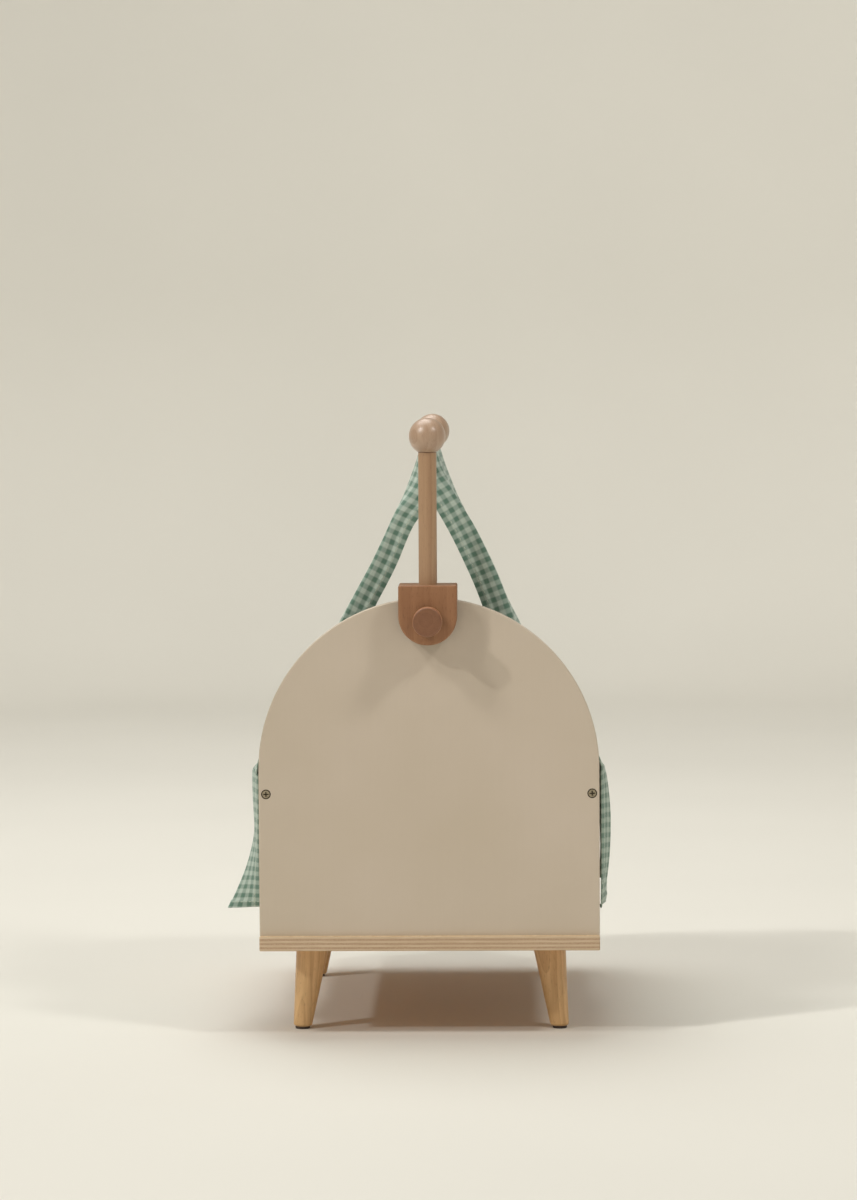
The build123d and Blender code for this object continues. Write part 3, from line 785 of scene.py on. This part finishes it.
def make_mattress():
    """A stuffed pad, swollen by a cloth simulation between two piped seams."""
    centre = Vector(((pad_low[0] + pad_high[0]) / 2, (pad_low[1] + pad_high[1]) / 2, 0))
    half_x = (pad_high[0] - pad_low[0]) / 2 - ROOM_BESIDE
    half_y = (pad_high[1] - pad_low[1]) / 2 - ROOM_BESIDE
    bottom, top = pad_low[2] + ROOM_BELOW, pad_high[2] - ROOM_ABOVE
    seams = (bottom + SEAM_IN, top - SEAM_IN)
    outline = rounded_outline(half_x, half_y, PAD_CORNER, OUTLINE_STEP)

    def pulled(x, y, inset):
        along_x, along_y = pad_pull(x, y, half_x, half_y)
        scale = 1 - inset / half_x
        from_x, from_y = math.copysign(SIDE_PULL * along_y, x), math.copysign(SIDE_PULL * along_x, y)
        return x * scale - from_x, y * scale - from_y

    points, faces = [], []
    levels = [
        (bottom, 6 * MM),
        (bottom + 0.6 * SEAM_IN, 1.5 * MM),
        (seams[0], 0.0),
        ((bottom + top) / 2, -0.5 * MM),
        (seams[1], 0.0),
        (top - 0.6 * SEAM_IN, 1.5 * MM),
        (top, 6 * MM),
    ]
    count = len(outline)
    for z, inset in levels:
        points += [Vector((*pulled(x, y, inset), z)) + centre for x, y in outline]
    for ring in range(len(levels) - 1):
        for k in range(count):
            a, b = ring * count + k, ring * count + (k + 1) % count
            faces.append((a, b, b + count, a + count))
    faces.append(tuple(range(count - 1, -1, -1)))
    faces.append(tuple(range(len(points) - count, len(points))))
    pad = build_piece("mattress_pad_cover", points, faces, mattress_cotton, "mattress_pad")

    remesh = pad.modifiers.new("even", "REMESH")
    remesh.mode = "VOXEL"
    remesh.voxel_size = PAD_GRID
    remesh.use_smooth_shade = True
    apply_modifiers(pad)
    rest = [v.co.copy() for v in pad.data.vertices]
    pins = pad.vertex_groups.new(name="seams")
    for index, spot in enumerate(rest):
        nearest = min(abs(spot.z - z) for z in seams)
        rim = max(abs(spot.x - centre.x) - half_x, abs(spot.y - centre.y) - half_y)
        if nearest < PINNED_HIGH and rim > -PINNED_IN:
            pins.add([index], 1.0, "REPLACE")
    swell = pad.modifiers.new("swell", "CLOTH")
    swell.settings.use_pressure = True
    swell.settings.uniform_pressure_force = SWELL_PRESSURE
    swell.settings.vertex_group_mass = "seams"
    swell.settings.effector_weights.gravity = 0
    swell.settings.quality = 5
    swell.point_cache.frame_start = 1
    swell.point_cache.frame_end = SWELL_FRAMES
    for frame_number in range(1, SWELL_FRAMES + 1):
        bpy.context.scene.frame_set(frame_number)
    apply_modifiers(pad)
    bpy.context.scene.frame_set(1)
    for vertex, spot in zip(pad.data.vertices, rest):
        moved = vertex.co - spot
        if moved.length > MOST_SWELL:
            moved *= MOST_SWELL / moved.length
        place = spot + moved
        place.z = max(place.z, pad_low[2] + 0.15 * MM)
        vertex.co = place
    crease_top(pad, centre, half_x, half_y, top)
    soften = pad.modifiers.new("fine", "SUBSURF")
    soften.levels = soften.render_levels = 1
    for face in pad.data.polygons:
        face.use_smooth = True

    for z, name in zip(seams, ("lower", "upper")):
        line = [Vector((*pulled(x, y, -0.6 * MM), z)) + centre for x, y in outline]
        tube_round("mattress_piping_" + name, line, PIPING, piping_cotton, "mattress_pad")
    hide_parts("mattress")


def apply_modifiers(piece):
    """Turns a piece's modifiers into its mesh."""
    graph = bpy.context.evaluated_depsgraph_get()
    made = bpy.data.meshes.new_from_object(piece.evaluated_get(graph), depsgraph=graph)
    piece.modifiers.clear()
    old = piece.data
    piece.data = made
    bpy.data.meshes.remove(old)


def crease_top(pad, centre, half_x, half_y, top):
    """Small creases that run in from the seams, and a slight unevenness of the filling."""
    for vertex in pad.data.vertices:
        x, y = vertex.co.x - centre.x, vertex.co.y - centre.y
        inward = min(half_x - abs(x), half_y - abs(y))
        round_at = math.atan2(y / half_y, x / half_x)
        crease = math.sin(46 * round_at + 5 * math.sin(3 * round_at)) * math.exp(-max(inward, 0.0) / 0.016)
        crease *= smooth(0.0, 0.006, inward)
        lump = noise.noise(Vector((x / 0.05, y / 0.06, 2.2)))
        if vertex.co.z > top - 3 * MM:
            vertex.co.z += (0.5 * crease + 0.7 * lump * smooth(0.0, 0.04, inward)) * MM


def tube_round(name, line, radius, material, body):
    """A closed round cord that follows a ring of points."""
    sides = 10
    points, faces = [], []
    count = len(line)
    for k, spot in enumerate(line):
        forward = (line[(k + 1) % count] - line[k - 1]).normalized()
        out = forward.cross(Vector((0, 0, 1)))
        for turn in range(sides):
            angle = 2 * math.pi * turn / sides
            points.append(spot + out * (radius * math.cos(angle)) + Vector((0, 0, radius * math.sin(angle))))
    for k in range(count):
        for turn in range(sides):
            a, b = k * sides + turn, k * sides + (turn + 1) % sides
            c, d = (k + 1) % count * sides + (turn + 1) % sides, (k + 1) % count * sides + turn
            faces.append((a, d, c, b))
    return build_piece(name, points, faces, material, body)


mattress_cotton = plain_cotton("mattress_cotton", (238, 233, 220), (226, 219, 203), 0.55 * MM)
piping_cotton = plain_cotton("piping_cotton", (228, 221, 205), (212, 204, 186), 0.4 * MM)
make_mattress()


# ---------------------------------------------------------------- floor, light and camera

STAGE_RADIUS = 3.9
STAGE_BEND = 0.7
STAGE_WALL = 1.5
FLOOR_RINGS, BEND_RINGS, STAGE_TURNS = 12, 16, 96
DAYLIGHT = (1.0, 0.985, 0.94)


def make_stage():
    """A seamless pale floor that curves up into a low wall all round."""
    s = Shader("stage_paint")
    drift = s.noise(s.place((1.3, 1.3, 1.3)), detail=2)
    base = s.mix(s.span(drift, 0.3, 0.7), colour(227, 225, 218), colour(223, 221, 214))
    material = s.finish(base, 0.85)
    flat = STAGE_RADIUS - STAGE_BEND
    profile = [(flat * k / FLOOR_RINGS, 0.0) for k in range(1, FLOOR_RINGS + 1)]
    for k in range(1, BEND_RINGS + 1):
        angle = math.pi / 2 * k / BEND_RINGS
        bent_out = STAGE_RADIUS - STAGE_BEND * (1 - math.sin(angle))
        profile.append((bent_out, STAGE_BEND * (1 - math.cos(angle))))
    profile.append((STAGE_RADIUS, STAGE_WALL))
    turns = STAGE_TURNS
    points, faces = [(0, 0, 0)], []
    for r, z in profile:
        for k in range(turns):
            angle = 2 * math.pi * k / turns
            points.append((r * math.cos(angle), r * math.sin(angle), z))
    for k in range(turns):
        faces.append((0, 1 + k, 1 + (k + 1) % turns))
    for ring in range(len(profile) - 1):
        for k in range(turns):
            a, b = 1 + ring * turns + k, 1 + ring * turns + (k + 1) % turns
            faces.append((a, a + turns, b + turns, b))
    mesh = bpy.data.meshes.new("stage_floor")
    mesh.from_pydata(points, [], faces)
    mesh.materials.append(material)
    for face in mesh.polygons:
        face.use_smooth = True
    floor = bpy.data.objects.new("stage_floor", mesh)
    bpy.context.scene.collection.objects.link(floor)
    floor.visible_shadow = False


def add_light(kind, name, place, target, energy, tint, **settings):
    data = bpy.data.lights.new(name, kind)
    data.energy = energy
    data.color = tint
    for key, value in settings.items():
        setattr(data, key, value)
    lamp = bpy.data.objects.new(name, data)
    lamp.location = place
    lamp.rotation_euler = (Vector(target) - Vector(place)).to_track_quat("-Z", "Y").to_euler()
    bpy.context.scene.collection.objects.link(lamp)


def add_disk(name, place, target, energy, tint, size):
    add_light("AREA", name, place, target, energy, tint, shape="DISK", size=size)


def make_light():
    """A crisp key in front on the left, soft lights left, right and overhead, and one on the backdrop."""
    middle = (0, 0.02, 0.25)
    add_light("SUN", "key", (-1.2, -0.85, 1.25), (0, 0, 0.25), 0.72, DAYLIGHT, angle=math.radians(3))
    add_disk("overhead", (-0.5, 0.7, 2.8), middle, 43, (1.0, 0.995, 0.96), 2.4)
    add_disk("soft_left", (-1.75, -1.6, 2.7), middle, 25, DAYLIGHT, 0.5)
    add_disk("soft_right", (1.85, -1.6, 2.7), middle, 25, (1.0, 0.98, 0.93), 0.5)
    add_disk("backdrop", (-0.4, 1.6, 3.0), (-0.5, 3.9, 0.9), 14, DAYLIGHT, 2.0)
    world = bpy.data.worlds.new("studio")
    world.use_nodes = True
    world.node_tree.nodes["Background"].inputs["Color"].default_value = (1.0, 0.92, 0.78, 1)
    world.node_tree.nodes["Background"].inputs["Strength"].default_value = 0.25
    bpy.context.scene.world = world


def make_camera():
    """Behind the head end, a little to the right and above, looking slightly down."""
    turn, dip, roll = -0.0170, 0.0571, -0.0052  # radians
    aside, back, high = 0.0573, 3.3435, 0.5526
    data = bpy.data.cameras.new("photo_camera")
    data.lens = 122.7
    data.sensor_width = 36
    camera = bpy.data.objects.new("photo_camera", data)
    level_right = Vector((math.cos(turn), -math.sin(turn), 0))
    level_ahead = Vector((math.sin(turn), math.cos(turn), 0))
    ahead = level_ahead * math.cos(dip) - Vector((0, 0, math.sin(dip)))
    up = level_ahead * math.sin(dip) + Vector((0, 0, math.cos(dip)))
    right = level_right * math.cos(roll) + up * math.sin(roll)
    up = up * math.cos(roll) - level_right * math.sin(roll)
    camera.matrix_world = Matrix((right, up, -ahead)).transposed().to_4x4()
    camera.location = (aside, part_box("headboard")[0][1] - back, high)
    bpy.context.scene.collection.objects.link(camera)
    bpy.context.scene.camera = camera


make_stage()
make_light()
make_camera()
bpy.context.scene.view_settings.view_transform = "Standard"
